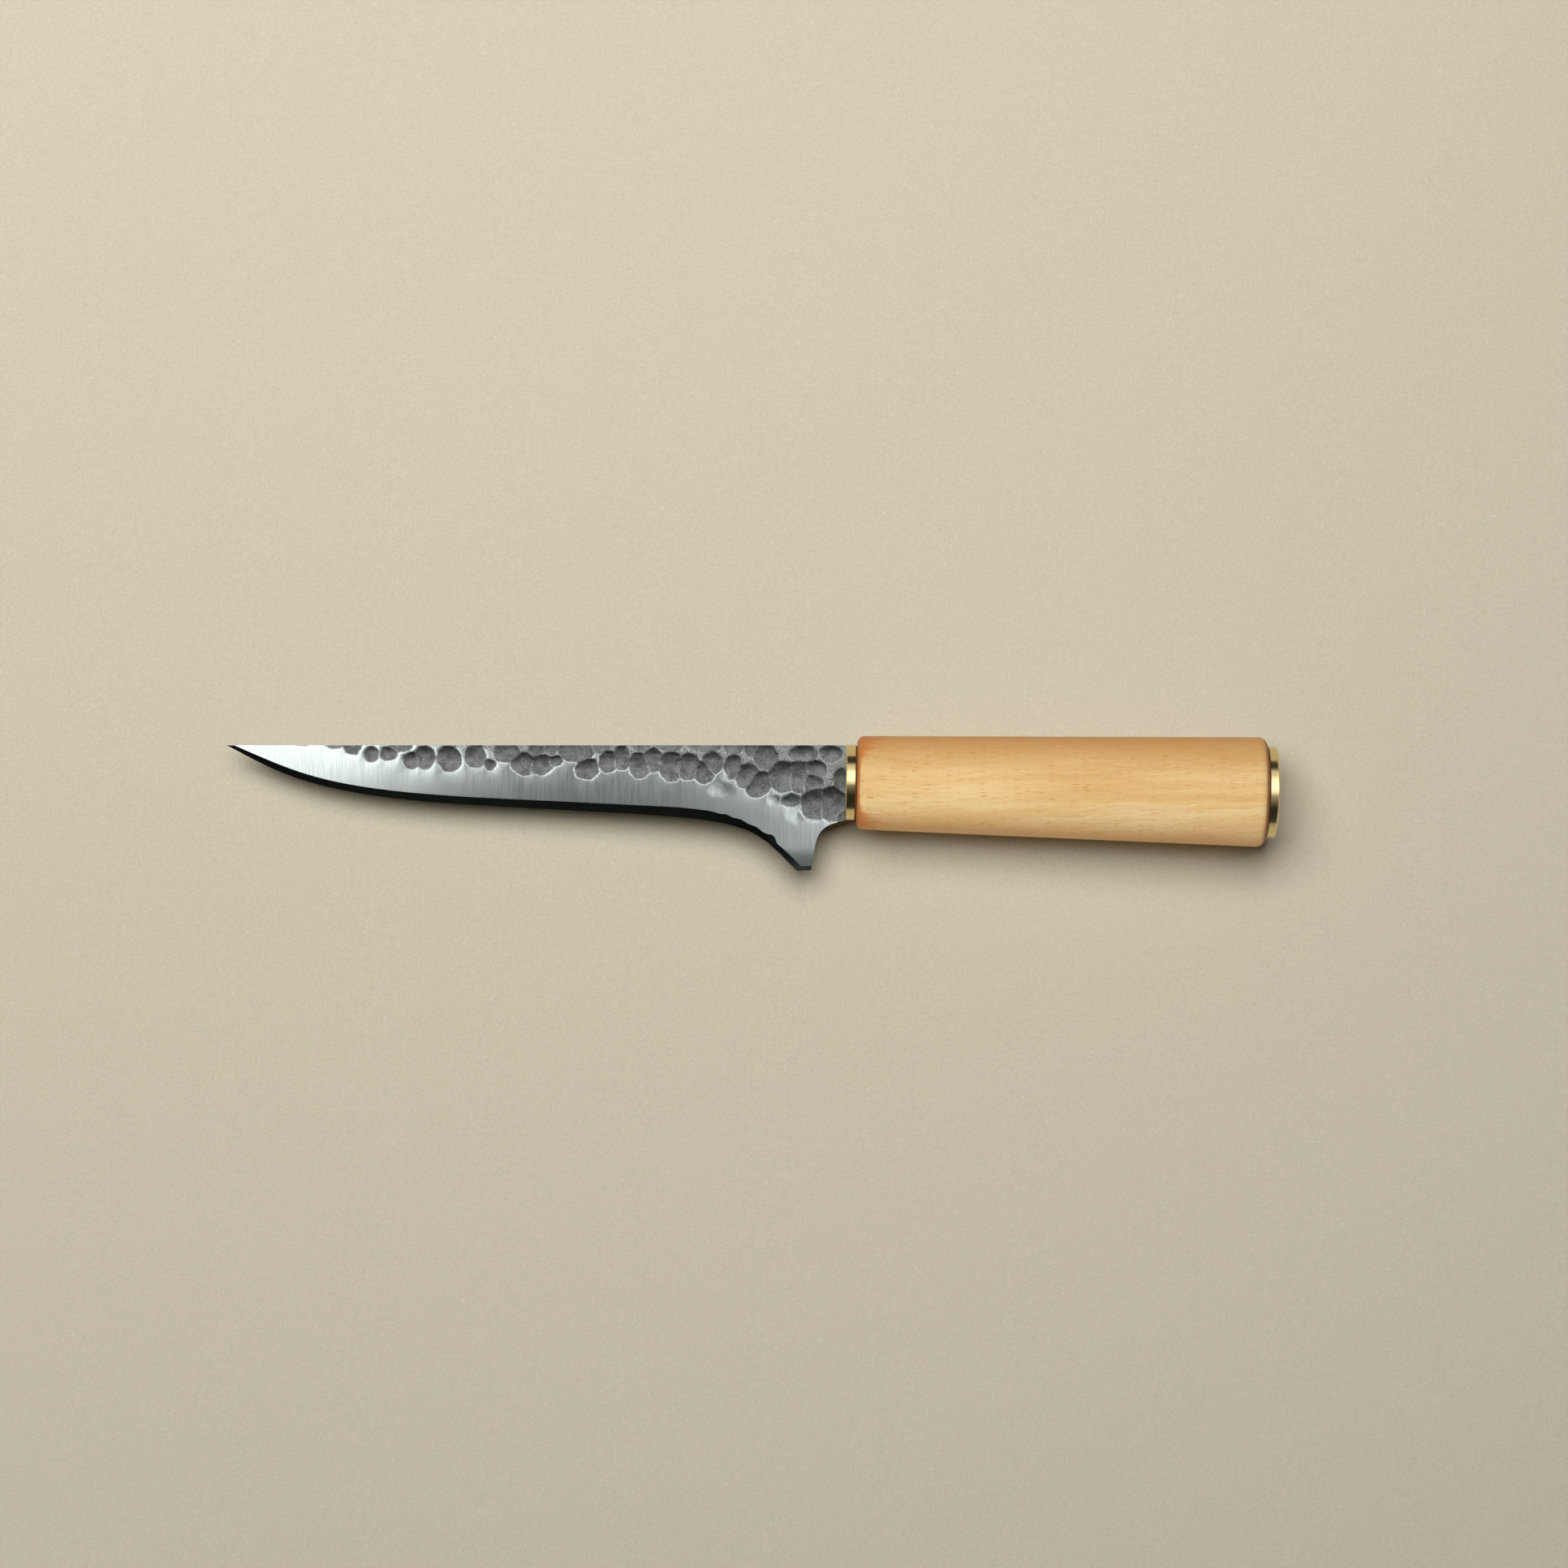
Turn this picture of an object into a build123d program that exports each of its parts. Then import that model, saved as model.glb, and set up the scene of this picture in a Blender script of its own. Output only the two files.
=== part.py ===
from build123d import *

import os
from math import radians, sqrt, tan

# A boning knife: a forged blade with a spur at its heel, a turned beech handle, a brass
# ferrule in front and a brass cap on the butt, drawn together by a stud through the handle.
#
# The pieces are drawn with x = 0 at the ferrule's front face and written with the origin at
# the centre of the butt. The x axis is the handle's, and +X points out of the butt. +Y is the
# spine side, and +Z is up when the knife lies on its side, so the blade's mid-plane is z = 0.
# All sizes are in millimetres.

# Blade, in its own frame: the spine is parallel to x, and the tip is on the -x side
BLADE_LENGTH = 162.1
BLADE_DROOP = 1.34            # degrees from the handle's axis to the spine
SPINE_Y = 9.7
SHOULDER_BOTTOM_Y = -10.05
SPINE_THICKNESS = 2.6         # at the shoulder
TIP_THICKNESS = 1.0
GRIND_TAPER = 0.026           # half thickness lost per millimetre below the spine

# The cutting edge: a belly behind the tip, a straight run, and a flare down the spur.
# A list of four points is a Bezier curve.
TIP = (-BLADE_LENGTH, SPINE_Y)
BELLY = [TIP, (-150.3, 4.0), (-142.7, -3.5), (-96.2, -6.0)]
FLARE = [(-57.5, -8.1), (-23.3, -10.1), (-23.5, -12.4), (-12.7, -23.2)]
SPUR_BACK = (-9.05, -23.0)

# The line where the edge bevel leaves the flat, piece by piece beside the cutting edge
BEVEL_BELLY = [(-159.9, SPINE_Y), (-142.9, 2.3), (-135.9, -1.7), (-96.6, -3.9)]
BEVEL_FLARE = [(-57.5, -5.8), (-37.9, -6.8), (-26.7, -5.9), (-11.7, -21.9)]
BEVEL_BACK = (-8.85, -21.8)

# The hollow between the spur and the shoulder, whose face is square to the handle's axis
SHOULDER_SLOPE = tan(radians(BLADE_DROOP))
SHOULDER_TOP = (SPINE_Y * SHOULDER_SLOPE, SPINE_Y)
SHOULDER_BOTTOM = (SHOULDER_BOTTOM_Y * SHOULDER_SLOPE, SHOULDER_BOTTOM_Y)
CHOIL = [BEVEL_BACK, (-7.7, -14.5), (-7.9, -11.3), SHOULDER_BOTTOM]

# Tang, along the handle's axis
TANG_LENGTH = 70.0
TANG_THICKNESS = 1.8
TANG_ROOT_WIDTH = 9.0
TANG_END_WIDTH = 5.0
TANG_SLOT_GAP = 0.1           # around the tang in the ferrule

# Round pieces, in order from the blade to the butt
FERRULE_RADIUS = 9.9
FERRULE_LENGTH = 2.6
FERRULE_SPIGOT_RADIUS = 7.0
FERRULE_SPIGOT_LENGTH = 6.0
SPACER_THICKNESS = 0.3
FRONT_SPACER_RADIUS = 9.6
GRIP_LENGTH = 107.1
GRIP_FRONT_RADIUS = 12.22
GRIP_REAR_RADIUS = 14.38
GRIP_FRONT_ROUND = 1.9
GRIP_REAR_ROUND = 2.3
REAR_SPACER_RADIUS = 11.6
CAP_RADIUS = 12.0
CAP_THICKNESS = 2.3
CAP_SPIGOT_LENGTH = 6.0
CAP_ROUND = 0.6
EDGE_BREAK = 0.2

# Holes in the grip: a bore for the tang, a stud hole, and a counterbore for the nut
TANG_BORE_RADIUS = 5.0
TANG_BORE_END = 78.0
STUD_HOLE_RADIUS = 3.3
COUNTERBORE_RADIUS = 7.0
COUNTERBORE_DEPTH = 20.0
FIT_GAP = 0.05                # radial, between glued spigots and their sockets

# M6 stud, washer and nut
STUD_RADIUS = 3.0
STUD_FORK_DEPTH = 12.0
STUD_PAST_NUT = 2.5
WASHER_RADIUS = 6.0
WASHER_THICKNESS = 1.6
NUT_ACROSS_FLATS = 10.0
NUT_THICKNESS = 5.0
NUT_CHAMFER_ANGLE = 30.0

# Places along the axis that follow from the sizes
GRIP_FRONT_X = FERRULE_LENGTH + SPACER_THICKNESS
GRIP_REAR_X = GRIP_FRONT_X + GRIP_LENGTH
COUNTERBORE_X = GRIP_REAR_X - COUNTERBORE_DEPTH
SPIGOT_END_X = FERRULE_LENGTH + FERRULE_SPIGOT_LENGTH
STUD_START_X = TANG_LENGTH - STUD_FORK_DEPTH
NUT_X = COUNTERBORE_X + WASHER_THICKNESS
STUD_END_X = NUT_X + NUT_THICKNESS + STUD_PAST_NUT
CAP_X = GRIP_REAR_X + SPACER_THICKNESS
BUTT_X = CAP_X + CAP_THICKNESS


def bar(start, end, radius, end_radius=None):
    """A round bar on the x axis, tapered if it has an end radius."""
    length = end - start
    from_start = (Align.CENTER, Align.CENTER, Align.MIN)
    if end_radius is None:
        shape = Cylinder(radius, length, align=from_start)
    else:
        shape = Cone(radius, end_radius, length, align=from_start)
    return Pos(start, 0, 0) * Rot(0, 90, 0) * shape


def rim(shape, which):
    """The outermost circular edge at the shape's front (0) or rear (-1) end."""
    circles = shape.edges().filter_by(GeomType.CIRCLE)
    return circles.group_by(Axis.X)[which].sort_by(SortBy.RADIUS)[-1]


def half_thickness(x, y):
    """The distance from the blade's mid-plane to either flat, both of which are planes."""
    distal_taper = (SPINE_THICKNESS - TIP_THICKNESS) / 2 / BLADE_LENGTH
    return SPINE_THICKNESS / 2 + distal_taper * x - GRIND_TAPER * (SPINE_Y - y)


def lifted(point, side):
    """A blade point on the mid-plane (side 0) or on one flat (side 1 or -1)."""
    x, y = point
    return (x, y, side * half_thickness(x, y))


def curve(points, side):
    """A line through two points or a Bezier curve on four, on that side of the blade."""
    placed = [lifted(point, side) for point in points]
    return Line(*placed) if len(placed) == 2 else Bezier(*placed)


def polygon(*corners):
    """A flat face with straight sides, from (point, side) corners."""
    placed = [lifted(point, side) for point, side in corners]
    return Face(Wire.make_polygon(placed, close=True))


def blade_plate():
    """The forged blade up to its shoulder, as a shell of flats, bevels and rims."""
    edge_run = [BELLY, [BELLY[-1], FLARE[0]], FLARE, [FLARE[-1], SPUR_BACK]]
    bevel_run = [
        BEVEL_BELLY,
        [BEVEL_BELLY[-1], BEVEL_FLARE[0]],
        BEVEL_FLARE,
        [BEVEL_FLARE[-1], BEVEL_BACK],
    ]
    closing_run = [CHOIL, [SHOULDER_BOTTOM, SHOULDER_TOP], [SHOULDER_TOP, BEVEL_BELLY[0]]]
    edge = [curve(points, 0) for points in edge_run]
    faces = []
    for side in (1, -1):
        bevel = [curve(points, side) for points in bevel_run]
        closing = [curve(points, side) for points in closing_run]
        faces.append(Face(Wire(bevel + closing)))
        for sharp, inner in zip(edge, bevel):
            faces.append(Face.make_surface_from_curves(sharp, inner))
    faces.append(Face.make_surface_from_curves(curve(CHOIL, 1), curve(CHOIL, -1)))
    faces.append(polygon((SPUR_BACK, 0), (BEVEL_BACK, 1), (BEVEL_BACK, -1)))
    faces.append(polygon(
        (SHOULDER_BOTTOM, 1), (SHOULDER_TOP, 1), (SHOULDER_TOP, -1), (SHOULDER_BOTTOM, -1),
    ))
    faces.append(polygon(
        (TIP, 0), (BEVEL_BELLY[0], 1), (SHOULDER_TOP, 1), (SHOULDER_TOP, -1), (BEVEL_BELLY[0], -1),
    ))
    return Rot(0, 0, BLADE_DROOP) * Solid(Shell(faces))


def tang(gap=0.0):
    """The flat stick tang, which tapers to a parallel end that fits the stud's fork."""
    root = TANG_ROOT_WIDTH / 2 + gap
    end = TANG_END_WIDTH / 2 + gap
    outline = Polyline(
        (0, -root), (STUD_START_X, -end), (TANG_LENGTH, -end),
        (TANG_LENGTH, end), (STUD_START_X, end), (0, root), close=True,
    )
    return extrude(make_face(outline), TANG_THICKNESS / 2 + gap, both=True)


def blade():
    """Blade and tang, one forging."""
    return blade_plate() + tang()


def ferrule():
    """A brass collar with a slot for the tang and a spigot that centres it in the grip."""
    collar = bar(0, FERRULE_LENGTH, FERRULE_RADIUS)
    collar = chamfer([rim(collar, 0), rim(collar, -1)], EDGE_BREAK)
    spigot = bar(FERRULE_LENGTH, SPIGOT_END_X, FERRULE_SPIGOT_RADIUS)
    return collar + spigot - tang(TANG_SLOT_GAP)


def front_spacer():
    """A black fibre ring between the ferrule and the grip."""
    ring = bar(FERRULE_LENGTH, GRIP_FRONT_X, FRONT_SPACER_RADIUS)
    return ring - bar(FERRULE_LENGTH, GRIP_FRONT_X, FERRULE_SPIGOT_RADIUS)


def grip():
    """The turned beech handle: a slow cone with rounded ends and a stepped bore."""
    body = bar(GRIP_FRONT_X, GRIP_REAR_X, GRIP_FRONT_RADIUS, GRIP_REAR_RADIUS)
    body = fillet(rim(body, 0), GRIP_FRONT_ROUND)
    body = fillet(rim(body, -1), GRIP_REAR_ROUND)
    body -= bar(GRIP_FRONT_X, SPIGOT_END_X, FERRULE_SPIGOT_RADIUS + FIT_GAP)
    body -= bar(SPIGOT_END_X, TANG_BORE_END, TANG_BORE_RADIUS)
    body -= bar(TANG_BORE_END, COUNTERBORE_X, STUD_HOLE_RADIUS)
    body -= bar(COUNTERBORE_X, GRIP_REAR_X, COUNTERBORE_RADIUS)
    return body


def stud():
    """An M6 stud whose forked front end is brazed over the end of the tang."""
    shank = bar(STUD_START_X, STUD_END_X, STUD_RADIUS)
    shank = chamfer(rim(shank, -1), EDGE_BREAK * 2)
    fork = Box(STUD_FORK_DEPTH, STUD_RADIUS * 2, TANG_THICKNESS)
    return shank - Pos(STUD_START_X + STUD_FORK_DEPTH / 2, 0, 0) * fork


def bedding():
    """Epoxy that fills the bore around the tang and the front of the stud."""
    filling = bar(SPIGOT_END_X, TANG_BORE_END, TANG_BORE_RADIUS)
    filling -= bar(STUD_START_X, TANG_BORE_END, STUD_RADIUS)
    return filling - tang()


def washer():
    """A plain M6 washer on the floor of the counterbore."""
    disc = bar(COUNTERBORE_X, NUT_X, WASHER_RADIUS)
    return disc - bar(COUNTERBORE_X, NUT_X, STUD_HOLE_RADIUS)


def nut():
    """An M6 hexagon nut with its corners chamfered on both sides."""
    corner_radius = NUT_ACROSS_FLATS / sqrt(3)
    overhang = corner_radius - NUT_ACROSS_FLATS / 2
    drop = overhang * tan(radians(NUT_CHAMFER_ANGLE))
    middle = NUT_X + NUT_THICKNESS / 2
    end = NUT_X + NUT_THICKNESS
    prism = extrude(Plane.YZ.offset(NUT_X) * RegularPolygon(corner_radius, 6), NUT_THICKNESS)
    flat_radius = NUT_ACROSS_FLATS / 2
    waist = flat_radius + overhang * (NUT_THICKNESS / 2) / drop
    rounded = bar(NUT_X, middle, flat_radius, waist) + bar(middle, end, waist, flat_radius)
    return (prism & rounded) - bar(NUT_X, end, STUD_RADIUS)


def rear_spacer():
    """A dark fibre ring between the grip and the butt cap."""
    ring = bar(GRIP_REAR_X, CAP_X, REAR_SPACER_RADIUS)
    return ring - bar(GRIP_REAR_X, CAP_X, COUNTERBORE_RADIUS)


def butt_cap():
    """A brass disc whose spigot is pressed into the counterbore over the nut."""
    disc = bar(CAP_X, BUTT_X, CAP_RADIUS)
    disc = fillet(rim(disc, -1), CAP_ROUND)
    return disc + bar(CAP_X - CAP_SPIGOT_LENGTH, CAP_X, COUNTERBORE_RADIUS - FIT_GAP)


NODES = {
    "blade": blade,
    "ferrule": ferrule,
    "front_spacer": front_spacer,
    "grip": grip,
    "tang_stud": stud,
    "tang_bedding": bedding,
    "stud_washer": washer,
    "stud_nut": nut,
    "rear_spacer": rear_spacer,
    "butt_cap": butt_cap,
}

os.makedirs("parts", exist_ok=True)
for name, make in NODES.items():
    export_step(Pos(-BUTT_X, 0, 0) * make(), f"parts/{name}.step")
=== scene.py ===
from math import cos, radians, sin, tan

import bmesh
import bpy
import numpy as np
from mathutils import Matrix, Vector


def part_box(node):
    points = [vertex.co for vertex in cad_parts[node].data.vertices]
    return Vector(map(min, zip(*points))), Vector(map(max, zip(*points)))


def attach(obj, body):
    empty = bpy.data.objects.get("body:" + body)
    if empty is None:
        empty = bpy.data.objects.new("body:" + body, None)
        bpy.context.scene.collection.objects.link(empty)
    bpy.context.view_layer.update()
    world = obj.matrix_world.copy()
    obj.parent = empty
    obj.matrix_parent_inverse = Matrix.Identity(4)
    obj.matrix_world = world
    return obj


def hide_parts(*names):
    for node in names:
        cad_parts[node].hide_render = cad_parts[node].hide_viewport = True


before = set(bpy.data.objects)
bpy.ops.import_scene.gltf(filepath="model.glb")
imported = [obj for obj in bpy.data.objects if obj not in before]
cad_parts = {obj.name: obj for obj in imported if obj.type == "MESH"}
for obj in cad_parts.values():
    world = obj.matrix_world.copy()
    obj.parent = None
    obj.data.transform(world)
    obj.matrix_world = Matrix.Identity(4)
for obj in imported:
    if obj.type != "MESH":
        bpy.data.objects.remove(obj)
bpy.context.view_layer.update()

MM = 0.001

# Blade outline in millimetres, in the blade's own frame: x runs from the tip (negative) to
# the shoulder (0), and y points from the handle's axis to the spine. These are the CAD
# blade's own curves.
BLADE_LENGTH = 162.1
BLADE_DROOP = radians(1.34)
SPINE_Y = 9.7
SPINE_THICKNESS = 2.6
TIP_THICKNESS = 1.0
GRIND_TAPER = 0.026
TIP = (-BLADE_LENGTH, SPINE_Y)
BELLY = [TIP, (-150.3, 4.0), (-142.7, -3.5), (-96.2, -6.0)]
FLARE = [(-57.5, -8.1), (-23.3, -10.1), (-23.5, -12.4), (-12.7, -23.2)]
SPUR_BACK = (-9.05, -23.0)
BEVEL_BELLY = [(-159.9, SPINE_Y), (-142.9, 2.3), (-135.9, -1.7), (-96.6, -3.9)]
BEVEL_FLARE = [(-57.5, -5.8), (-37.9, -6.8), (-26.7, -5.9), (-11.7, -21.9)]
BEVEL_BACK = (-8.85, -21.8)
# How far the ragged bevel bites into the flat near the heel: (x, height)
CHIPS = [(-40, 0), (-35, 0.15), (-33, 0), (-31.2, 0.35), (-29.5, 0.1), (-27.3, 0.45),
         (-25.4, 0.2), (-23.2, 0.6), (-21.6, 0.3), (-20.4, 0.6), (-19.2, 1.3), (-18.4, 1.1),
         (-17.9, 0), (-14, 0)]
SHOULDER_LOW_Y = -10.05
SHOULDER_TOP = (SPINE_Y * tan(BLADE_DROOP), SPINE_Y)
SHOULDER_BOTTOM = (SHOULDER_LOW_Y * tan(BLADE_DROOP), SHOULDER_LOW_Y)
CHOIL = [BEVEL_BACK, (-7.7, -14.5), (-7.9, -11.3), SHOULDER_BOTTOM]
TANG_HALF_THICKNESS = 0.9
TANG_STATIONS = [(0.0, 4.5), (58.0, 2.5), (70.0, 2.5)]     # (x from the shoulder, half width)

# How many rings of points each stretch of the blade gets, and the spine's x where it ends:
# the belly, the straight, the flare, the spur's end and the choil
STRETCHES = [(210, -96.6), (124, -57.5), (165, -15.0), (10, -11.5), (56, SHOULDER_TOP[0])]
HAMMERED_ROWS = 60
GROUND_ROWS = 18
HAMMERED_SHARE = 0.65         # of the height of the flat, counted from the spine
BEVEL_ROWS = 3
SPINE_ROWS = 2
CURVE_SAMPLES = 2000          # points that measure the length of an outline's curve
MERGE_DISTANCE = 1e-6         # metres, below which two points are one
FLAT_SLOT, BEVEL_SLOT, RIM_SLOT = 0, 1, 2      # the order of the blade's materials

# Hammer marks, in millimetres: x of the centre, depth below the spine, width, height,
# tilt in degrees and depth of the dent.
HAMMER_MARKS = [
    (-142.4, -1.0, 5.0, 2.6, 0, 0.10), (-133.6, -0.6, 5.6, 3.2, 0, 0.12),
    (-129.0, 0.2, 4.8, 4.4, 0, 0.14), (-124.3, 2.4, 4.2, 4.4, 0, 0.12),
    (-119.6, 2.2, 5.0, 4.0, 0, 0.14), (-116.7, -0.2, 6.8, 4.0, 0, 0.12),
    (-113.4, 3.9, 5.2, 4.8, 0, 0.18), (-110.3, 3.2, 5.8, 6.4, 0, 0.20),
    (-103.8, 3.5, 6.8, 7.0, 0, 0.24), (-96.9, 2.8, 5.8, 6.9, 0, 0.22),
    (-93.0, 5.1, 3.4, 3.4, 0, 0.10), (-88.8, 1.9, 7.6, 5.6, 0, 0.16),
    (-84.0, 4.9, 7.6, 6.2, 8, 0.24), (-79.8, 5.0, 7.4, 5.8, -10, 0.22),
    (-80.8, 1.6, 5.0, 4.6, 0, 0.10), (-76.2, 4.2, 5.6, 3.0, -5, 0.14),
    (-76.9, 0.8, 4.2, 4.0, 0, 0.12), (-70.4, 1.3, 9.8, 6.4, 0, 0.18),
    (-67.6, 6.3, 6.3, 6.1, 0, 0.20), (-62.1, 4.3, 5.2, 6.4, 0, 0.24),
    (-58.7, 3.4, 5.0, 6.8, 5, 0.24), (-53.9, 5.4, 6.0, 7.4, -5, 0.26),
    (-50.4, 4.0, 5.2, 6.6, 0, 0.20), (-64.0, 0.4, 5.6, 3.8, 0, 0.14),
    (-46.0, -0.2, 8.4, 4.0, 0, 0.14), (-24.8, 1.0, 3.6, 4.6, 0, 0.12),
    (-53.3, 0.2, 5.6, 3.2, 0, 0.14), (-45.6, 5.5, 6.8, 8.0, 0, 0.28),
    (-41.0, 5.8, 6.2, 7.4, 0, 0.26), (-36.8, -0.2, 9.6, 4.4, 0, 0.14),
    (-34.8, 4.6, 5.8, 6.6, 0, 0.22), (-36.9, 7.2, 6.0, 6.2, 0, 0.24),
    (-29.3, 0.6, 5.8, 4.2, 0, 0.16), (-29.4, 5.7, 5.2, 7.0, 0, 0.24),
    (-25.8, 7.8, 6.0, 7.4, 40, 0.22), (-22.6, 10.3, 6.0, 8.0, 40, 0.26),
    (-20.9, 3.1, 6.8, 7.6, 0, 0.24), (-11.1, 2.2, 8.4, 4.6, 0, 0.18),
    (-3.9, 2.3, 6.4, 4.8, 0, 0.20), (-16.2, 8.2, 8.4, 8.4, 0, 0.28),
    (-12.1, 8.2, 7.4, 9.2, 0, 0.26), (-8.3, 6.5, 7.4, 5.2, 0, 0.22),
    (-9.0, 9.8, 6.6, 6.4, 0, 0.22), (-0.8, 9.1, 5.0, 6.6, 0, 0.18),
    (-8.2, 15.4, 7.4, 8.8, 0, 0.32), (-3.4, 15.4, 8.6, 9.6, 0, 0.34),
    (-0.9, 18.4, 4.4, 5.0, 0, 0.16), (-14.4, 14.6, 5.6, 3.8, 0, 0.12),
]
# Dents that were ground over afterwards, so that they are as bright as the flat: x of the
# centre, depth below the spine, width, height and depth of the dent, in millimetres
SOFT_DENTS = [
    (-32.4, 11.7, 8.4, 5.0, 0.04), (-18.8, 14.3, 4.0, 4.0, 0.03),
    (-12.9, 16.4, 7.0, 9.0, 0.07), (-11.2, 16.6, 3.0, 3.0, 0.03),
]
MARK_POWER = 2.0              # 2 is a bowl, more is a flatter floor with steeper walls
MARK_SCALE = 1.45             # deepens every mark
MARK_SKEW = 0.50              # how much deeper a mark is towards the tip and the spine
SKEW_X, SKEW_Y = 0.6, 0.8     # the direction of that, away from the tip and the spine
HALO_DEPTH = 0.020            # mm, how far the flat sinks towards a mark's rim
HALO_WIDTH = 1.5              # mm, how far that sinking reaches
OUTLINE_WANDER = 0.30         # mm, how far a mark's outline strays from an ellipse
WANDER_SIZES = (2.2, 0.9)     # mm, the coarse and the fine waves of that outline
NOISE_CELLS = 256             # along each side of the noise's grid
FAR_SIDE_SHIFT = 1.7          # mm, how far the other side's marks stand nearer to the handle
FAR_SIDE_LIFT = 0.9           # and their distance from the spine, as a share of this side's
SKIN_FADE = 0.15              # mm, over which a mark's dark skin ends outside its rim
SKIN_AT_RIM = 0.9             # how much of the skin is left right at the rim
DENT_FADE = 1.2               # mm inside the rim, where a mark's floor is reached
RIDGE_WIDTH = 0.012           # mm between two marks' depths, over which their ridge fades
RIDGE_DEPTH = HALO_DEPTH * 1.2                 # mm, how deep both marks are at a ridge

# The forged skin that the grinder left along the spine: (x, depth below the spine)
SKIN_BAND = [(-163, -1.0), (-120, -0.6), (-100, 0.4), (-84, 2.4), (-66, 2.6), (-50, 3.0),
             (-36, 4.0), (-22, 6.0), (-14, 9.0), (-6, 13.0), (1, 20.0)]
SKIN_DEPTH = 0.03             # mm, how far that skin lies below the ground flat
SKIN_STEP = 0.5               # mm, over which the skin sinks to that depth

# The flat is a little convex across: it sinks with the square of the distance from the
# handle's axis, and on in a straight line from CONVEX_END below the axis. The spur also rolls
# over below ROLL_START, with the square of the distance from there. All are in mm.
CONVEXITY = 0.0007
CONVEX_END = 9.0
ROLL_START = -17.0
ROLL = 0.004

SMOOTH_BELOW = 35             # degrees between two CAD faces that count as one surface
GRAIN_WAVE = 9                # mm between the lowest and the highest wave of the grain
SCORCH_START = 0.4            # mm behind the grip's front end
REAR_SHADE = (1.3, 0.5)      # mm before the grip's rear end, where the painted shade on its rounded edge starts and is full

# Studio, in metres and watts unless noted
FLOOR_SIZE = 8.0
FLOOR_GLOW = (300, 1250)      # mm from the origin, where its own glow starts and is full
SENSOR_WIDTH = 36.0           # mm
CAMERA_HEIGHT = 1.2325        # above the handle's axis
PICTURE_WIDTH = 0.41055       # at the height of the handle's axis
PICTURE_CENTRE = (-16.1, -0.8)                 # mm in x and y from the middle of the shoulder
SOFTBOX_SIZE = (0.95, 0.72)
SOFTBOX_DISTANCE = 1.15
SOFTBOX_DIRECTION = (-0.12, 0.35, 0.93)
SOFTBOX_POWER = 19.6
REFLECTOR_SIZE = (1.2, 0.10)
REFLECTOR_DISTANCE = 1.0
REFLECTOR_DIRECTION = (0.05, -0.98, 0.20)
REFLECTOR_POWER = 5.4
LIGHT_COLOUR = (1.0, 0.985, 0.95)
FILL = (0.024, 0.016, 0.008, 1)                # from all round, but not seen in reflections

# The brightness of what shiny surfaces reflect
ROOM_BRIGHTNESS = 0.03
HORIZON_BRIGHTNESS = 0.40     # beyond the tip and the butt
PANEL_LEAN = 15               # degrees from straight up to the bright panel's middle
PANEL_BRIGHTNESS = (2.1, 0.8)                  # at its middle and at its ends
TIP_WINDOW_BRIGHTNESS = 2.0
HEEL_WINDOW_BRIGHTNESS = 1.15
SPILL_BRIGHTNESS = 0.38


def node(tree, kind, inputs=None, **settings):
    """Adds a node, applies its settings, and fills its inputs with values or links."""
    made = tree.nodes.new(kind)
    for name, value in settings.items():
        setattr(made, name, value)
    for key, value in (inputs or {}).items():
        if isinstance(value, bpy.types.NodeSocket):
            tree.links.new(value, made.inputs[key])
        else:
            made.inputs[key].default_value = value
    return made


def calc(tree, operation, *values):
    """The result of a Math node."""
    return node(tree, "ShaderNodeMath", dict(enumerate(values)), operation=operation).outputs[0]


def remap(tree, value, low, high, new_low=0.0, new_high=1.0):
    """value eased from the range low..high to new_low..new_high, and held beyond it."""
    made = node(tree, "ShaderNodeMapRange", {
        "Value": value, "From Min": low, "From Max": high,
        "To Min": new_low, "To Max": new_high,
    }, interpolation_type="SMOOTHSTEP")
    return made.outputs[0]


def mix(tree, factor, first, second, how="MIX"):
    """Two colours mixed by a factor."""
    made = node(tree, "ShaderNodeMix", data_type="RGBA", blend_type=how)
    for index, value in ((0, factor), (6, first), (7, second)):
        if isinstance(value, bpy.types.NodeSocket):
            tree.links.new(value, made.inputs[index])
        else:
            made.inputs[index].default_value = value
    return made.outputs[2]


def paint(r, g, b):
    """A colour from sRGB values of 0 to 255, as shaders want it."""
    channels = [c / 255 for c in (r, g, b)]
    linear = [c / 12.92 if c <= 0.04045 else ((c + 0.055) / 1.055) ** 2.4 for c in channels]
    return (*linear, 1.0)


def place(tree, scale, turn=(0, 0, 0), shift=(0, 0, 0)):
    """Object coordinates in millimetres, shifted, turned and then scaled."""
    coordinates = node(tree, "ShaderNodeTexCoord").outputs["Object"]
    in_mm = node(tree, "ShaderNodeMapping", {
        "Vector": coordinates, "Location": shift, "Rotation": turn, "Scale": (1 / MM,) * 3,
    })
    return node(tree, "ShaderNodeMapping", {"Vector": in_mm.outputs[0], "Scale": scale}).outputs[0]


def noise(tree, vector, scale=1.0, detail=3.0, rough=0.5, warp=0.0):
    """Fractal noise, 0 to 1."""
    return node(tree, "ShaderNodeTexNoise", {
        "Vector": vector, "Scale": scale, "Detail": detail, "Roughness": rough,
        "Distortion": warp,
    }).outputs["Fac"]


def attribute(tree, name):
    """A value that is stored on the mesh."""
    return node(tree, "ShaderNodeAttribute", attribute_name=name).outputs["Fac"]


def bump(tree, height, distance_mm, strength=1.0, below=None):
    """A bump whose height of 1 stands distance_mm proud."""
    inputs = {"Height": height, "Distance": distance_mm * MM, "Strength": strength}
    if below is not None:
        inputs["Normal"] = below
    return node(tree, "ShaderNodeBump", inputs).outputs["Normal"]


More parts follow.
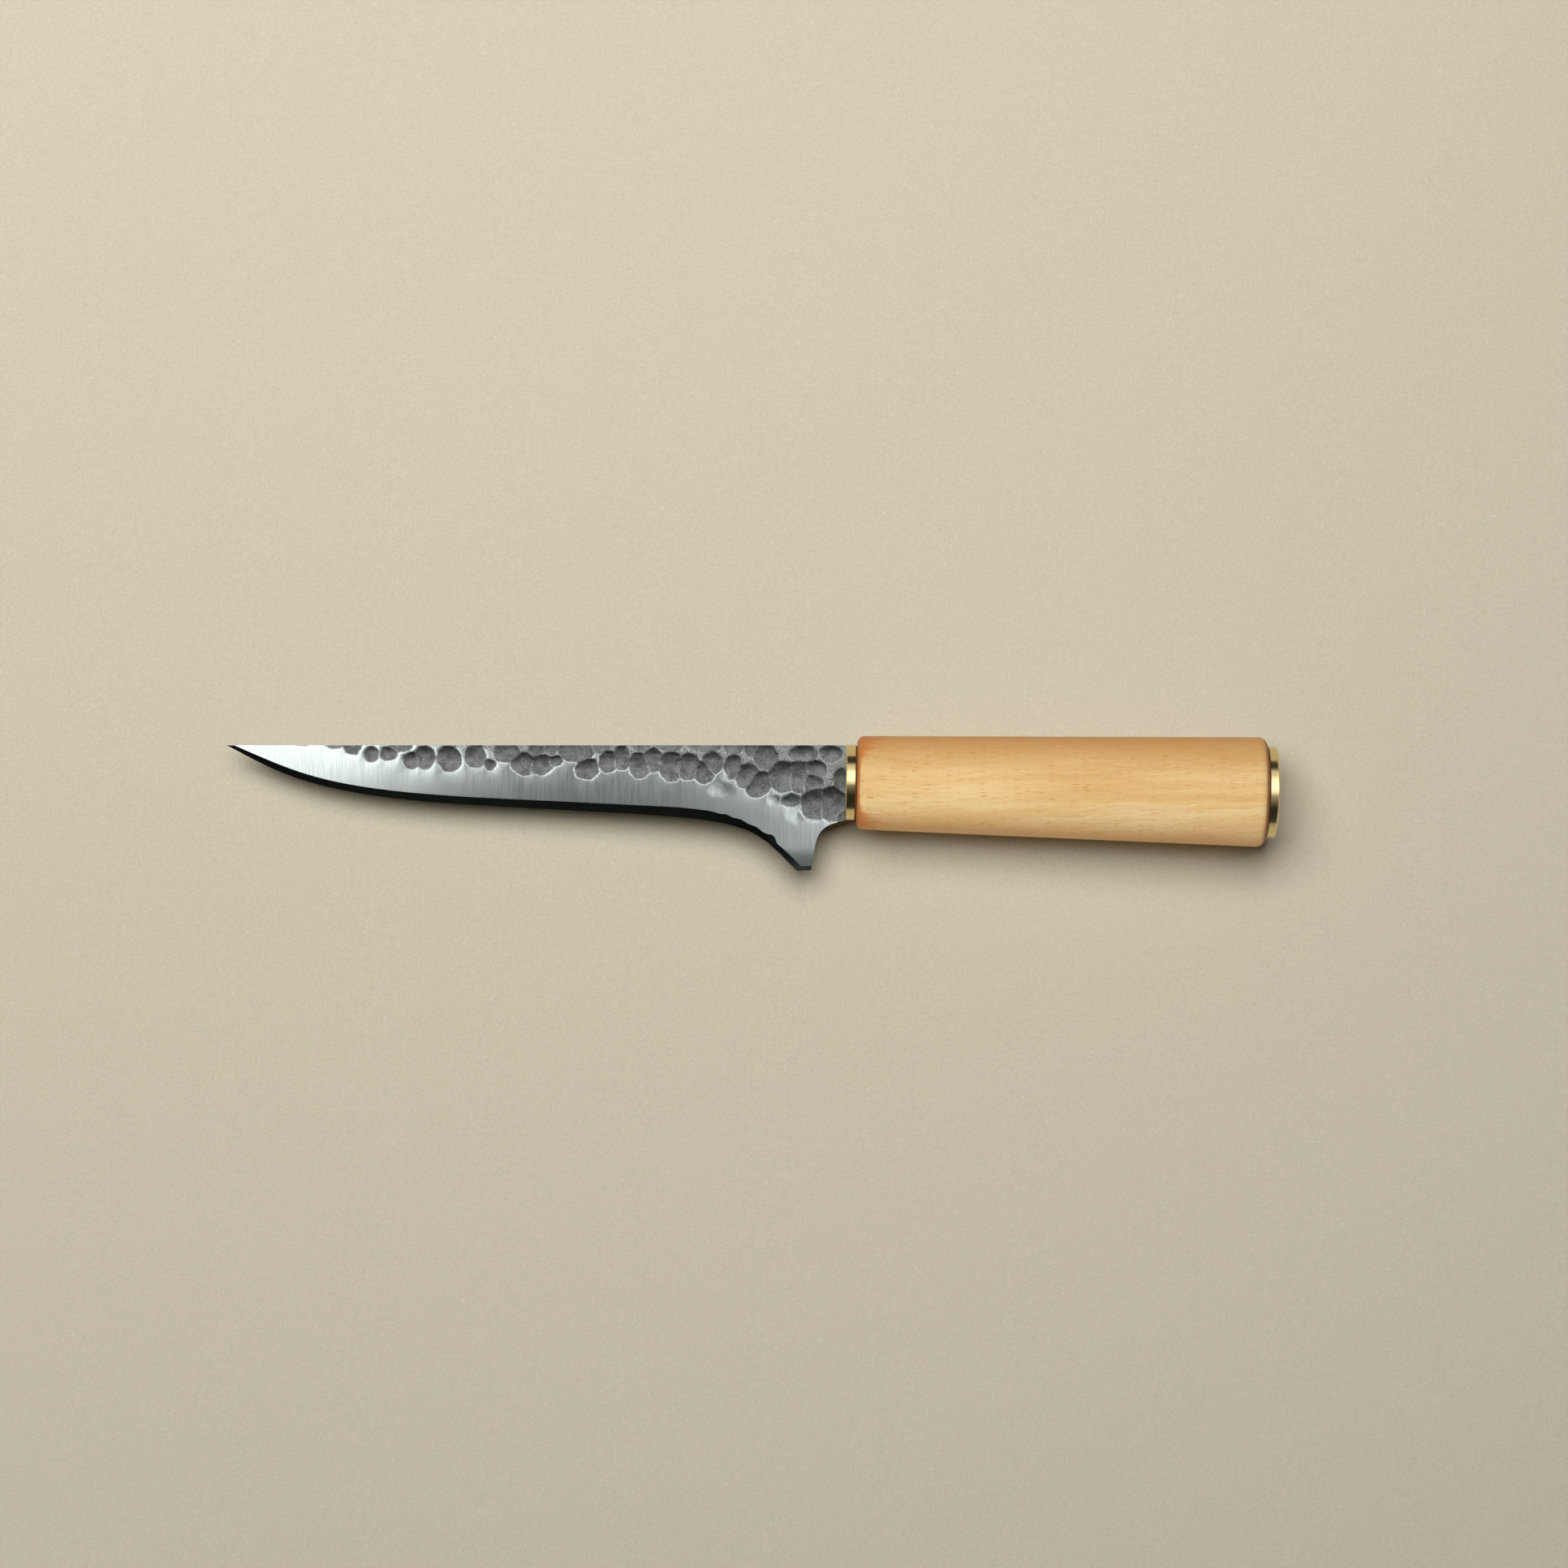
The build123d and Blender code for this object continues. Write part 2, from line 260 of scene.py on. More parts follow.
def new_material(name):
    """An empty node material with its Principled shader."""
    material = bpy.data.materials.new(name)
    material.use_nodes = True
    tree = material.node_tree
    tree.nodes.clear()
    shader = node(tree, "ShaderNodeBsdfPrincipled")
    output = node(tree, "ShaderNodeOutputMaterial")
    tree.links.new(shader.outputs[0], output.inputs[0])
    return material, tree, shader


def fill(tree, shader, **inputs):
    """Fills the shader's inputs, whose names are written with underscores."""
    for name, value in inputs.items():
        socket = shader.inputs[name.replace("_", " ")]
        if isinstance(value, bpy.types.NodeSocket):
            tree.links.new(value, socket)
        else:
            socket.default_value = value


# ---- Blade ----

def bezier(points, count):
    """count + 1 points spread evenly in length along a line or a cubic Bezier curve."""
    fine = np.linspace(0, 1, CURVE_SAMPLES)[:, None]
    p = np.array(points, float)
    if len(p) == 2:
        curve = p[0] + (p[1] - p[0]) * fine
    else:
        curve = ((1 - fine) ** 3 * p[0] + 3 * (1 - fine) ** 2 * fine * p[1]
                 + 3 * (1 - fine) * fine ** 2 * p[2] + fine ** 3 * p[3])
    length = np.r_[0, np.cumsum(np.hypot(*np.diff(curve, axis=0).T))]
    wanted = np.linspace(0, length[-1], count + 1)
    return np.c_[np.interp(wanted, length, curve[:, 0]), np.interp(wanted, length, curve[:, 1])]


def half_thickness(x, y):
    """The distance from the blade's mid-plane to its flat, before any hammer mark."""
    distal_taper = (SPINE_THICKNESS - TIP_THICKNESS) / 2 / BLADE_LENGTH
    return SPINE_THICKNESS / 2 + distal_taper * x - GRIND_TAPER * (SPINE_Y - y)


def value_noise(x, y, size, seed):
    """Smooth seeded noise from -1 to 1 whose lumps are about size wide."""
    grid = np.random.default_rng(seed).uniform(-1, 1, (NOISE_CELLS, NOISE_CELLS))
    u, v = x / size + NOISE_CELLS // 2, y / size + NOISE_CELLS // 2
    i, j = np.floor(u).astype(int), np.floor(v).astype(int)
    s, t = u - i, v - j
    s, t = s * s * (3 - 2 * s), t * t * (3 - 2 * t)
    i, j = i % (NOISE_CELLS - 1), j % (NOISE_CELLS - 1)
    low = grid[i, j] * (1 - s) + grid[i + 1, j] * s
    high = grid[i, j + 1] * (1 - s) + grid[i + 1, j + 1] * s
    return low * (1 - t) + high * t


def mark_depths(x, below, marks):
    """Every mark's depth at each point, and how far the point lies inside its rim, in mm."""
    depths, insides = [], []
    for cx, cy, width, height, tilt, depth in marks:
        c, s = cos(radians(tilt)), sin(radians(tilt))
        dx, dy = x - cx, below - cy
        across = (dx * c + dy * s) / (width / 2)
        down = (dy * c - dx * s) / (height / 2)
        radius = np.hypot(across, down)
        inside = (1 - radius) * min(width, height) / 2
        skew = 1 - MARK_SKEW * (SKEW_X * dx / width + SKEW_Y * dy / height) * 2
        bowl = MARK_SCALE * depth * np.maximum(1 - radius ** MARK_POWER, 0) * skew
        depths.append(bowl + HALO_DEPTH * np.exp(np.minimum(inside, 0) / HALO_WIDTH))
        insides.append(inside)
    return np.array(depths), np.array(insides)


def soft_depth(x, below):
    """The depth of the dents that were ground over, which have no rims."""
    total = 0
    for cx, cy, width, height, depth in SOFT_DENTS:
        radius = np.hypot((x - cx) / (width / 2), (below - cy) / (height / 2))
        total = total + depth * np.maximum(1 - radius ** 2, 0) ** 2
    return total


def hammered(x, y, side):
    """Depth of the surface below the flat, its skin and dent masks, and the mask of the ridges
    between marks, which carries a painted highlight.
    """
    below = SPINE_Y - y
    seed = 10 if side > 0 else 20
    coarse, fine = WANDER_SIZES
    strays = [value_noise(x, y, coarse, seed + i) + 0.5 * value_noise(x, y, fine, seed + 2 + i)
              for i in (0, 1)]
    x, below = x + OUTLINE_WANDER * strays[0], below + OUTLINE_WANDER * strays[1]
    marks = HAMMER_MARKS
    if side < 0:
        marks = [(cx + FAR_SIDE_SHIFT, cy * FAR_SIDE_LIFT, *rest) for cx, cy, *rest in marks]
    depths, insides = mark_depths(x, below, marks)
    ranked = np.sort(depths, axis=0)
    inside = insides.max(axis=0)
    band = np.interp(x, *np.array(SKIN_BAND).T) - below
    bulge = CONVEXITY * np.where(y > -CONVEX_END, y ** 2, CONVEX_END * (-2 * y - CONVEX_END))
    roll = ROLL * np.maximum(ROLL_START - y, 0) ** 2
    skin_floor = SKIN_DEPTH * np.clip(band / SKIN_STEP, 0, 1)
    depth = ranked[-1] + skin_floor + soft_depth(x, below) + bulge + roll
    dent = np.clip(inside / DENT_FADE, 0, 1)
    skin = np.clip(np.maximum(inside, band) / SKIN_FADE + SKIN_AT_RIM, 0, 1)
    # Where two marks meet: the ridges that get a painted highlight
    crest = np.exp((ranked[-2] - ranked[-1]) / RIDGE_WIDTH) * (ranked[-2] > RIDGE_DEPTH)
    return depth, skin, dent, skin * crest


def blade_lines():
    """The spine line, the line where the flat ends, and the outer line, ring by ring."""
    outer_runs = [BELLY, [BELLY[-1], FLARE[0]], FLARE, [FLARE[-1], SPUR_BACK], CHOIL]
    inner_runs = [BEVEL_BELLY, [BEVEL_BELLY[-1], BEVEL_FLARE[0]], BEVEL_FLARE,
                  [BEVEL_FLARE[-1], BEVEL_BACK], CHOIL]
    spine, inner, outer = [], [], []
    spine_x = BEVEL_BELLY[0][0]
    for outer_run, inner_run, (count, spine_end) in zip(outer_runs, inner_runs, STRETCHES):
        outer.append(bezier(outer_run, count))
        inner.append(bezier(inner_run, count))
        spine.append(np.linspace((spine_x, SPINE_Y), (spine_end, SPINE_Y), count + 1))
        spine_x = spine_end
    spine, inner, outer = np.vstack(spine), np.vstack(inner), np.vstack(outer)
    inner[:, 1] += np.interp(inner[:, 0], *np.array(CHIPS).T)
    return spine, inner, outer


def flat_shares():
    """Where the rows of a flat lie between the spine, 0, and the bevel, 1."""
    upper = np.linspace(0, HAMMERED_SHARE, HAMMERED_ROWS + 1)
    lower = np.linspace(HAMMERED_SHARE, 1, GROUND_ROWS + 1)
    return np.r_[upper, lower[1:]]


def blade_side(side):
    """One side of the blade as arrays of points and masks, ring by row, spine to edge."""
    spine, inner, outer = blade_lines()
    share = flat_shares()[None, :, None]
    flat = spine[:, None] + (inner - spine)[:, None] * share
    x, y = flat[..., 0], flat[..., 1]
    depth, *masks = (a.reshape(x.shape) for a in hammered(x.ravel(), y.ravel(), side))
    z = side * (half_thickness(x, y) - depth)
    flat = np.dstack([flat, z])
    down = np.linspace(0, 1, BEVEL_ROWS + 1)[None, 1:, None]
    rim = flat[:, -1]
    edge = np.c_[outer, np.zeros(len(outer))]
    bevel = rim[:, None] + (edge - rim)[:, None] * down
    points = np.concatenate([flat, bevel], axis=1)
    return points, [np.pad(mask, ((0, 0), (0, BEVEL_ROWS))) for mask in masks]


def tang_rings(row_count):
    """The tang's sections, with as many points a side as the blade's rings have."""
    flat_rows = row_count - BEVEL_ROWS
    shares = np.r_[flat_shares(), np.ones(BEVEL_ROWS)]
    height = np.r_[np.ones(flat_rows), 1 - np.linspace(0, 1, BEVEL_ROWS + 1)[1:]]
    sections = []
    for x, half_width in TANG_STATIONS:
        y = half_width * (1 - 2 * shares)
        sections.append(np.c_[np.full(row_count, x), y, height * TANG_HALF_THICKNESS])
    return np.array(sections)


def turned(points):
    """Blade points turned from the spine's direction to the handle's."""
    c, s = cos(BLADE_DROOP), sin(BLADE_DROOP)
    x, y = points[..., 0], points[..., 1]
    return np.stack([x * c - y * s, x * s + y * c, points[..., 2]], axis=-1)


def closed_rings(upper, lower):
    """Rings that run down the upper side, back up the lower side and over the spine."""
    back = lower[:, -2::-1]
    steps = np.linspace(0, 1, SPINE_ROWS + 1)[None, 1:-1, None]
    over = lower[:, :1] + (upper[:, :1] - lower[:, :1]) * steps
    return np.concatenate([upper, back, over], axis=1)


def build_blade(materials):
    """The blade and its tang as one closed mesh with real hammer marks on both sides."""
    upper, upper_masks = blade_side(1)
    lower, lower_masks = blade_side(-1)
    tang = tang_rings(upper.shape[1])
    rings = np.concatenate([
        closed_rings(turned(upper), turned(lower)), closed_rings(tang, tang * (1, 1, -1)),
    ])
    ring_count, size = rings.shape[:2]
    index = np.arange(ring_count * size).reshape(ring_count, size)
    following = np.roll(index, -1, axis=1)
    quads = np.stack([index[:-1], following[:-1], following[1:], index[1:]], axis=-1)
    masks = [np.pad(np.concatenate([up, low[:, -2::-1]], axis=1),
                    ((0, len(tang)), (0, SPINE_ROWS - 1)))
             for up, low in zip(upper_masks, lower_masks)]

    shoulder = Vector((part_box("ferrule")[0].x, 0, 0))
    mesh = bpy.data.meshes.new("hammered_blade")
    faces = quads.reshape(-1, 4).tolist() + [index[0][::-1].tolist(), index[-1].tolist()]
    mesh.from_pydata((rings.reshape(-1, 3) * MM + np.array(shoulder)).tolist(), [], faces)
    for name, mask in zip(("skin", "dent", "ridge_glint"), masks):
        mesh.attributes.new(name, "FLOAT", "POINT").data.foreach_set("value", mask.ravel())

    rows = upper.shape[1]
    first_bevel, last_bevel = rows - 1 - BEVEL_ROWS, rows - 1 + BEVEL_ROWS
    column = np.arange(size)
    on_bevel = (column >= first_bevel) & (column < last_bevel)
    zone = np.where(on_bevel, BEVEL_SLOT, FLAT_SLOT)
    zone[2 * rows - 2:] = RIM_SLOT
    edge_rings = sum(count + 1 for count, _ in STRETCHES[:-1])
    slot = np.tile(zone, (ring_count - 1, 1))
    slot[edge_rings:, on_bevel] = RIM_SLOT
    slots = np.r_[slot.ravel(), RIM_SLOT, RIM_SLOT].astype(np.int32)
    mesh.polygons.foreach_set("material_index", slots)
    creases = np.zeros((ring_count, size), bool)
    creases[:, [0, first_bevel, rows - 1, last_bevel, 2 * rows - 2]] = True
    merge_and_crease(mesh, creases, upper.shape[0] - 1)
    for material in materials:
        mesh.materials.append(material)
    return link(mesh)


def merge_and_crease(mesh, creases, shoulder_ring):
    """Joins coincident points, and makes the creases and the shoulder's edge sharp."""
    work = bmesh.new()
    work.from_mesh(mesh)
    row = work.verts.layers.int.new("row")
    ring = work.verts.layers.int.new("ring")
    size = creases.shape[1]
    for vert in work.verts:
        vert[row] = vert.index % size if creases.ravel()[vert.index] else -1
        vert[ring] = vert.index // size
    bmesh.ops.remove_doubles(work, verts=work.verts, dist=MERGE_DISTANCE)
    for edge in work.edges:
        first, second = edge.verts
        along = first[row] == second[row] != -1
        around = first[ring] == second[ring] == shoulder_ring
        edge.smooth = not (along or around)
    for face in work.faces:
        face.smooth = True
    for name in ("row", "ring"):
        work.verts.layers.int.remove(work.verts.layers.int[name])
    bmesh.ops.recalc_face_normals(work, faces=work.faces)
    work.to_mesh(mesh)
    work.free()


def link(mesh):
    """Puts a mesh in the scene as an object of the same name."""
    made = bpy.data.objects.new(mesh.name, mesh)
    bpy.context.scene.collection.objects.link(made)
    return made


# ---- Materials ----
# Noise scales are in waves per millimetre. A remap gives the two noise values between which a
# layer fades in, and how much of it there is at both ends.

def steel_flat():
    """Satin ground steel with forged, speckled hammer marks, and a painted highlight along the
    ridges between the marks.
    """
    material, tree, shader = new_material("steel_flat")
    skin, dent, ridge_glint = (attribute(tree, name) for name in ("skin", "dent", "ridge_glint"))
    across = (0, 0, -BLADE_DROOP)
    scratches = noise(tree, place(tree, (7.0, 0.12, 0.5), turn=across), detail=2)
    clouds = noise(tree, place(tree, (0.10, 0.06, 0.1), turn=across), detail=3)
    satin = mix(tree, remap(tree, clouds, 0.3, 0.7),
                (0.57, 0.64, 0.65, 1), (0.67, 0.74, 0.745, 1))
    satin = mix(tree, remap(tree, scratches, 0.35, 0.70, 0, 0.35),
                satin, (0.42, 0.45, 0.46, 1))

    speckle = noise(tree, place(tree, (3.6, 3.6, 3.6)), detail=3, rough=0.8)
    patches = noise(tree, place(tree, (0.45, 0.45, 0.45)), detail=3)
    plateau = mix(tree, remap(tree, speckle, 0.35, 0.65),
                  (0.06, 0.065, 0.065, 1), (0.46, 0.48, 0.475, 1))
    bowl = mix(tree, remap(tree, patches, 0.3, 0.7),
               (0.065, 0.072, 0.072, 1), (0.13, 0.14, 0.138, 1))
    bowl = mix(tree, remap(tree, speckle, 0.48, 0.72, 0, 0.45), bowl, (0.48, 0.49, 0.48, 1))
    burnished = mix(tree, remap(tree, speckle, 0.35, 0.6),
                    (0.08, 0.085, 0.085, 1), (0.34, 0.35, 0.345, 1))
    bowl = mix(tree, remap(tree, dent, 0.0, 0.28), burnished, bowl)
    oxide = mix(tree, remap(tree, dent, 0.0, 0.15), plateau, bowl)
    # Painted highlight: a thin bright line along the ridges where two marks meet
    oxide = mix(tree, calc(tree, "MULTIPLY", ridge_glint, 0.5), oxide, (0.66, 0.68, 0.67, 1))

    rough = calc(tree, "MULTIPLY_ADD", skin, 0.24, remap(tree, scratches, 0.2, 0.8, 0.10, 0.15))
    lines = bump(tree, scratches, 0.0007, calc(tree, "SUBTRACT", 1.0, skin))
    pits = bump(tree, speckle, 0.012, skin, below=lines)
    fill(tree, shader, Base_Color=mix(tree, skin, satin, oxide), Metallic=1.0, Roughness=rough,
         Normal=pits)
    return material


def steel_bevel():
    """The ground edge bevel, with stoning lines along it. Its near-black colour is painted shade
    for the dark room that it reflects.
    """
    material, tree, shader = new_material("steel_bevel")
    lines = noise(tree, place(tree, (0.4, 9.0, 2.0), turn=(0, 0, -BLADE_DROOP)), detail=3)
    # Painted shade: near black, standing in for the dark room that the bevel reflects
    colour = mix(tree, lines, (0.05, 0.065, 0.055, 1), (0.12, 0.14, 0.125, 1))
    fill(tree, shader, Base_Color=colour, Metallic=1.0, Roughness=0.22,
         Normal=bump(tree, lines, 0.002))
    return material


def steel_rim():
    """Forged oxide on the spine, the choil and the shoulder."""
    material, tree, shader = new_material("steel_rim")
    grain = noise(tree, place(tree, (2.5, 2.5, 2.5)), detail=5, rough=0.7)
    colour = mix(tree, remap(tree, grain, 0.4, 0.7),
                 (0.18, 0.19, 0.19, 1), (0.45, 0.46, 0.46, 1))
    fill(tree, shader, Base_Color=colour, Metallic=1.0, Roughness=0.42,
         Normal=bump(tree, grain, 0.03))
    return material


def turned_brass():
    """Polished brass with fine lathe lines around the handle's axis."""
    material, tree, shader = new_material("turned_brass")
    x, y, z = node(tree, "ShaderNodeSeparateXYZ", {0: place(tree, (1, 1, 1))}).outputs
    squares = calc(tree, "ADD", calc(tree, "POWER", y, 2), calc(tree, "POWER", z, 2))
    radius = calc(tree, "SQRT", squares)
    section = node(tree, "ShaderNodeCombineXYZ", {"X": x, "Y": radius}).outputs[0]
    lines = noise(tree, section, scale=7.0, detail=3)
    tarnish = noise(tree, place(tree, (0.25, 0.25, 0.25)), detail=4)
    colour = mix(tree, remap(tree, tarnish, 0.3, 0.8),
                 (0.80, 0.64, 0.33, 1), (0.75, 0.58, 0.28, 1))
    rough = remap(tree, lines, 0.3, 0.7, 0.14, 0.21)
    fill(tree, shader, Base_Color=colour, Metallic=1.0, Roughness=rough,
         Normal=bump(tree, lines, 0.003))
    return material


def grown(tree, vector, scale):
    """Wood coordinates, scaled along and across the grain."""
    return node(tree, "ShaderNodeMapping", {"Vector": vector, "Scale": scale}).outputs[0]


def beech():
    """Pale oiled beech with short ray flecks, scorched at the front end, with painted shade at the
    rear rim, towards the outline and on the spine's side.
    """
    material, tree, shader = new_material("beech")
    front, rear = (corner.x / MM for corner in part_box("grip"))
    straight = place(tree, (1, 1, 1))
    x, y, _ = node(tree, "ShaderNodeSeparateXYZ", {0: straight}).outputs
    # The grain waves, draws together towards the butt, and rises that way on the edge's side.
    swell = noise(tree, grown(tree, straight, (0.03, 0.07, 0.07)), detail=1)
    waves = calc(tree, "MULTIPLY_ADD", swell, GRAIN_WAVE, -GRAIN_WAVE / 2)
    fan = calc(tree, "MULTIPLY", calc(tree, "MULTIPLY_ADD", x, 0.004, 0.3), y)
    from_front = calc(tree, "SUBTRACT", x, front)
    slant = calc(tree, "MULTIPLY", from_front, remap(tree, y, -10, 8, -0.13, 0))
    drift = calc(tree, "ADD", calc(tree, "ADD", waves, fan), slant)
    bend = node(tree, "ShaderNodeCombineXYZ", {"Y": drift}).outputs[0]
    bent = node(tree, "ShaderNodeVectorMath", {0: straight, 1: bend}, operation="ADD")
    curved = bent.outputs[0]

    broad = noise(tree, grown(tree, curved, (0.015, 0.14, 0.14)), detail=4)
    fibres = noise(tree, grown(tree, curved, (0.12, 1.6, 1.6)), detail=4, rough=0.6)
    pores = noise(tree, grown(tree, curved, (1.0, 4.0, 4.0)), detail=2)
    colour = mix(tree, remap(tree, broad, 0.35, 0.65), paint(216, 190, 144), paint(206, 172, 118))
    # Painted shade: darker and more orange towards the spine's side, with a ragged edge from the
    # broad grain
    spine_side_shade = calc(tree, "MULTIPLY_ADD", broad, 16, y)
    colour = mix(tree, remap(tree, spine_side_shade, 2, 20, 0, 0.75), colour, paint(180, 138, 82))
    colour = mix(tree, remap(tree, fibres, 0.45, 0.75, 0, 0.45), colour, paint(183, 137, 81))
    colour = mix(tree, remap(tree, pores, 0.5, 0.75, 0, 0.35), colour, paint(217, 194, 149))

    rays = grown(tree, curved, (0.34, 3.0, 3.0))
    cells = node(tree, "ShaderNodeTexVoronoi", {"Vector": rays, "Scale": 1.0})
    draws = node(tree, "ShaderNodeSeparateColor", {0: cells.outputs["Color"]})
    chance, strength, _ = draws.outputs
    fleck_size = remap(tree, chance, 0.15, 0.9, 0.0, 0.45)
    beyond = calc(tree, "SUBTRACT", cells.outputs["Distance"], fleck_size)
    fleck = remap(tree, beyond, -0.16, 0.0, 1, 0)
    fleck = calc(tree, "MULTIPLY", fleck, remap(tree, strength, 0.2, 1.0, 0.05, 0.75))
    colour = mix(tree, fleck, colour, paint(178, 110, 52))
    # Painted shade: darker and more orange where the surface turns away, towards the grip's
    # outline
    grazing = node(tree, "ShaderNodeLayerWeight", {"Blend": 0.5}).outputs["Facing"]
    colour = mix(tree, remap(tree, grazing, 0.12, 0.70, 0, 0.65), colour, paint(178, 122, 64))

    # The front end is scorched in streaks, which reach further back on the flanks.
    streaks = noise(tree, grown(tree, curved, (0.10, 0.8, 0.8)), detail=3)
    flank = remap(tree, calc(tree, "ABSOLUTE", y), 5.0, 11.5, 0.5, 9.0)
    reach = calc(tree, "MULTIPLY", flank, remap(tree, streaks, 0.3, 0.7, 0.5, 1.5))
    depth = calc(tree, "DIVIDE", calc(tree, "SUBTRACT", x, front + SCORCH_START), reach)
    scorch = remap(tree, depth, 0.0, 1.0, 0.85, 0.0)
    colour = mix(tree, scorch, colour, paint(174, 100, 40))
    # Painted shade on the grip's rounded rear edge, next to the cap
    rear_shade = remap(tree, x, *(rear - before for before in REAR_SHADE), 0, 0.9)
    colour = mix(tree, rear_shade, colour, paint(128, 76, 36))
    fill(tree, shader, Base_Color=colour, Roughness=0.45, Specular_IOR_Level=0.3,
         Normal=bump(tree, calc(tree, "ADD", fibres, pores), 0.006))
    return material


def fibre():
    """Matt dark vulcanised fibre."""
    material, tree, shader = new_material("fibre")
    fuzz = noise(tree, place(tree, (3, 3, 3)), detail=4)
    colour = mix(tree, fuzz, (0.05, 0.025, 0.012, 1), (0.12, 0.06, 0.03, 1))
    fill(tree, shader, Base_Color=colour, Roughness=0.8, Normal=bump(tree, fuzz, 0.02))
    return material


def plated_steel():
    """Zinc-plated fasteners, hidden inside the handle."""
    material, tree, shader = new_material("plated_steel")
    clouds = noise(tree, place(tree, (0.8, 0.8, 0.8)), detail=4)
    colour = mix(tree, clouds, (0.48, 0.49, 0.50, 1), (0.68, 0.69, 0.68, 1))
    fill(tree, shader, Base_Color=colour, Metallic=1.0, Roughness=0.35,
         Normal=bump(tree, clouds, 0.01))
    return material


def epoxy():
    """Amber resin, hidden inside the handle."""
    material, tree, shader = new_material("epoxy")
    clouds = noise(tree, place(tree, (0.6, 0.6, 0.6)), detail=3)
    colour = mix(tree, clouds, (0.55, 0.40, 0.17, 1), (0.70, 0.56, 0.30, 1))
    fill(tree, shader, Base_Color=colour, Roughness=0.3, Normal=bump(tree, clouds, 0.02))
    return material


# ---- Studio ----

def paper():
    """Pale beige paper with a fine grain. It glows far out, where the lights fall off."""
    material, tree, shader = new_material("paper")
    grain = noise(tree, place(tree, (1.4, 1.4, 1.4)), detail=4, rough=0.7)
    colour = mix(tree, remap(tree, grain, 0.2, 0.8), paint(181, 176, 158), paint(195, 189, 170))
    specks = noise(tree, place(tree, (2.4, 2.4, 2.4)), detail=1)
    colour = mix(tree, remap(tree, specks, 0.68, 0.76, 0, 0.7), colour, paint(214, 210, 196))
    distance = node(tree, "ShaderNodeVectorMath", {0: place(tree, (1, 1, 1))}, operation="LENGTH")
    far = remap(tree, distance.outputs["Value"], *FLOOR_GLOW)
    fill(tree, shader, Base_Color=colour, Roughness=1.0, Specular_IOR_Level=0.0,
         Emission_Color=colour, Emission_Strength=far)
    return material


def resting_line():
    """Two points on the lowest line of the grip, near its front and its rear end."""
    corners = np.array([v.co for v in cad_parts["grip"].data.vertices])
    low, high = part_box("grip")
    third = (high.x - low.x) / 3
    ends = []
    for part in (corners[:, 0] < low.x + third, corners[:, 0] > high.x - third):
        near = corners[part]
        ends.append(near[near[:, 2].argmin()])
    return ends


def build_floor():
    """A wide floor that lies along the grip's lowest line, which the knife rests on."""
    front, rear = resting_line()
    slope = (rear[2] - front[2]) / (rear[0] - front[0])
    half = FLOOR_SIZE / 2
    corners = []
    for sx, sy in ((-1, -1), (1, -1), (1, 1), (-1, 1)):
        x = front[0] + sx * half
        corners.append((x, sy * half, front[2] + slope * (x - front[0])))
    mesh = bpy.data.meshes.new("floor")
    mesh.from_pydata(corners, [], [(0, 1, 2, 3)])
    mesh.materials.append(paper())
    floor = link(mesh)


def build_camera(aim):
    """Looks straight down, turned so that the blade's spine is level in the picture."""
    data = bpy.data.cameras.new("camera")
    data.sensor_width = SENSOR_WIDTH
    data.lens = SENSOR_WIDTH * CAMERA_HEIGHT / PICTURE_WIDTH
    camera = bpy.data.objects.new("camera", data)
    camera.location = aim + Vector((0, 0, CAMERA_HEIGHT))
    camera.rotation_euler = (0, 0, BLADE_DROOP)
    bpy.context.scene.collection.objects.link(camera)
    bpy.context.scene.camera = camera


def build_light(name, aim, size, distance, direction, power):
    """An area light that faces the aim, which neither the camera nor reflections see."""
    data = bpy.data.lights.new(name, "AREA")
    data.shape = "RECTANGLE"
    data.size, data.size_y = size
    data.energy = power
    data.color = LIGHT_COLOUR
    light = bpy.data.objects.new(name, data)
    towards = Vector(direction).normalized()
    light.location = aim + towards * distance
    light.rotation_euler = towards.to_track_quat("Z", "Y").to_euler()
    light.visible_camera = False
    light.visible_glossy = False
    bpy.context.scene.collection.objects.link(light)
    return light


def knife_pieces(blade):
    """A collection of everything but the floor, for the light that is for the knife alone."""
    pieces = bpy.data.collections.new("knife_pieces")
    for piece in (blade, *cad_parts.values()):
        pieces.objects.link(piece)
    return pieces


